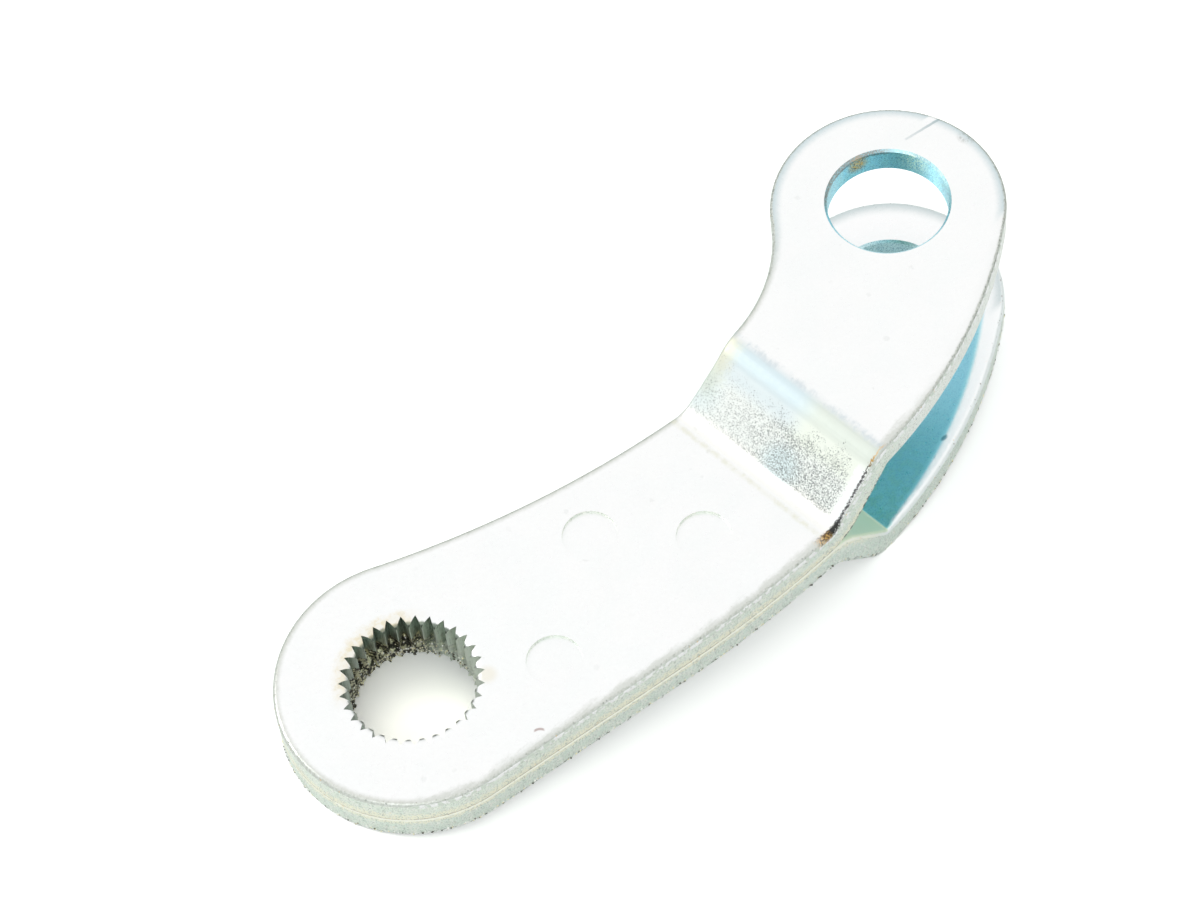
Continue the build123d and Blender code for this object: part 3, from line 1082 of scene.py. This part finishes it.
beads = dict(
    density=1.1e7,                      # to the square metre of border
    smallest=0.05 * mm,
    largest=0.14 * mm,
    seed=11,
    borderHeight=-1.08,                 # they keep below this height of the cut edge
    tornHeight=-1.0,                    # and in the serrated hole below this one
    boreShare=0.6,
    white=(0.98, 0.99, 0.97, 1),
    cream=(0.96, 0.90, 0.66, 1),
    dark=(0.08, 0.08, 0.07, 1),
)


def beadMaterial(look):
    material = bpy.data.materials.new("beadZinc")
    n = emptied(material)
    pick = n.attribute("pick")["Fac"]
    place = n.stretched(n.add("ShaderNodeTexCoord").outputs["Object"], (1000, 1000, 1000))
    rough = n.use(grain, Place=place, Size=0.3)["Roughness"]
    colour = n.coat(
        look["white"],
        (n.ramp(pick, 0.50, 0.54), look["cream"]),
        (n.ramp(pick, 0.72, 0.76), look["dark"]),
        (n.times(rough, 0.15), look["cream"]))
    n.metal(colour, n.linear(rough, 0.15, 0.25))
    return material


def beadBorders(pieces, look):
    # the faces that carry beads, with how many they carry and where they are kept
    p = pressing
    points, faces, share, kept = [], [], [], []
    for piece, lift in pieces:
        mesh = piece.data
        blank = readVectors(mesh.attributes["blank"].data, "vector")
        for face in mesh.polygons:
            middle = face.center / mm
            reach = middle.to_2d().length
            if abs(face.normal.z) > 0.5 or (face.center - p["pinAxis"]).to_2d().length < p["aroundPin"] * mm:
                continue
            torn = reach < p["tornWall"] and lift < 0 and middle.z < look["tornHeight"]
            if not torn and (reach < p["offBore"] or lift > 0):
                continue
            start = len(points)
            corners = list(face.vertices)
            faces.append([start + n for n in range(len(corners))])
            points += [tuple(mesh.vertices[n].co) for n in corners]
            share += [look["boreShare"] if torn else 1.0] * len(corners)
            kept += [1.0 if torn else look["borderHeight"] - blank[n][2] for n in corners]
    mesh = bpy.data.meshes.new("beadBorders")
    mesh.from_pydata(points, [], faces)
    mesh.attributes.new("share", "FLOAT", "POINT").data.foreach_set("value", share)
    mesh.attributes.new("kept", "FLOAT", "POINT").data.foreach_set("value", kept)
    return mesh


def beadTree():
    tree = bpy.data.node_groups.new("scatterBeads", "GeometryNodeTree")
    kinds = dict(Geometry="Geometry", Density="Float", Smallest="Float", Largest="Float", Seed="Int", Finish="Material")
    for label, kind in kinds.items():
        tree.interface.new_socket(label, in_out="INPUT", socket_type="NodeSocket" + kind)
    tree.interface.new_socket("Geometry", in_out="OUTPUT", socket_type="NodeSocketGeometry")
    n = Nodes(tree)
    given = n.add("NodeGroupInput").outputs

    def attribute(label):
        return n.add("GeometryNodeInputNamedAttribute", label, data_type="FLOAT").outputs["Attribute"]

    def anyOf(low, high, step, kind="FLOAT_VECTOR"):
        # a value for each bead, drawn with a seed of its own
        node = n.add("FunctionNodeRandomValue", data_type=kind)
        sockets = [s for s in node.inputs if s.enabled and s.name in ("Min", "Max")]
        for value, socket in zip((low, high), sockets):
            n.plug(value, socket)
        n.plug(n.calc("ADD", given["Seed"], float(step)), [s for s in node.inputs if s.name == "Seed"][0])
        return [s for s in node.outputs if s.enabled][0]

    density = n.times(given["Density"], attribute("share"))
    spread = n.add("GeometryNodeDistributePointsOnFaces",
                   named={"Mesh": given["Geometry"], "Density": density, "Seed": given["Seed"]})
    outside = n.calc("LESS_THAN", attribute("kept"), 0.0)
    thinned = n.add("GeometryNodeDeleteGeometry", domain="POINT",
                    named={"Geometry": spread.outputs["Points"], "Selection": outside})
    bead = n.add("GeometryNodeMeshIcoSphere", named={"Radius": 1, "Subdivisions": 1})
    low, high = (n.add("ShaderNodeCombineXYZ", *[given[label]] * 3).outputs[0] for label in ("Smallest", "Largest"))
    turn = anyOf((0, 0, 0), (6.28, 6.28, 6.28), 1)
    placed = n.add("GeometryNodeInstanceOnPoints",
                   named={"Points": thinned, "Instance": bead, "Rotation": turn, "Scale": anyOf(low, high, 2)})
    picked = n.add("GeometryNodeStoreNamedAttribute", data_type="FLOAT", domain="INSTANCE",
                   named={"Geometry": placed, "Name": "pick", "Value": anyOf(0.0, 1.0, 3, "FLOAT")})
    real = n.add("GeometryNodeRealizeInstances", picked)
    smooth = n.add("GeometryNodeSetShadeSmooth", named={"Geometry": real})
    finished = n.add("GeometryNodeSetMaterial", named={"Geometry": smooth, "Material": given["Finish"]})
    n.add("NodeGroupOutput", finished)
    return tree


def scatterBeads(pieces, look):
    piece = bpy.data.objects.new("borderBeads", beadBorders(pieces, look))
    scene.collection.objects.link(piece)
    modifier = piece.modifiers.new("scatterBeads", "NODES")
    modifier.node_group = beadTree()
    values = dict(Density=look["density"], Smallest=look["smallest"], Largest=look["largest"],
                  Seed=look["seed"], Finish=beadMaterial(look))
    for item in modifier.node_group.interface.items_tree:
        if item.in_out == "INPUT" and item.name in values:
            modifier[item.identifier] = values[item.name]
    mesh = settle(piece)
    # none stands out of the solids' own box
    points = np.clip(readVectors(mesh.vertices, "co"), np.array(cadBox[0]), np.array(cadBox[1]))
    mesh.vertices.foreach_set("co", points.ravel())
    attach(piece, "root")
    print("borderBeads", len(mesh.polygons), "faces")


upperZinc = zincMaterial(upperLook)
lowerZinc = zincMaterial(lowerLook)
upperPlate = dressedCopy("upper_plate", "upperPlate", 1, upperZinc)
lowerPlate = dressedCopy("lower_plate", "lowerPlate", -1, lowerZinc)
weldSteel = weldMaterial(weldLook)
for name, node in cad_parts.items():
    if name.startswith("weld_nugget"):
        node.data.materials.clear()
        node.data.materials.append(weldSteel)
print("plates dressed")
scatterBeads([(upperPlate, 1), (lowerPlate, -1)], beads)
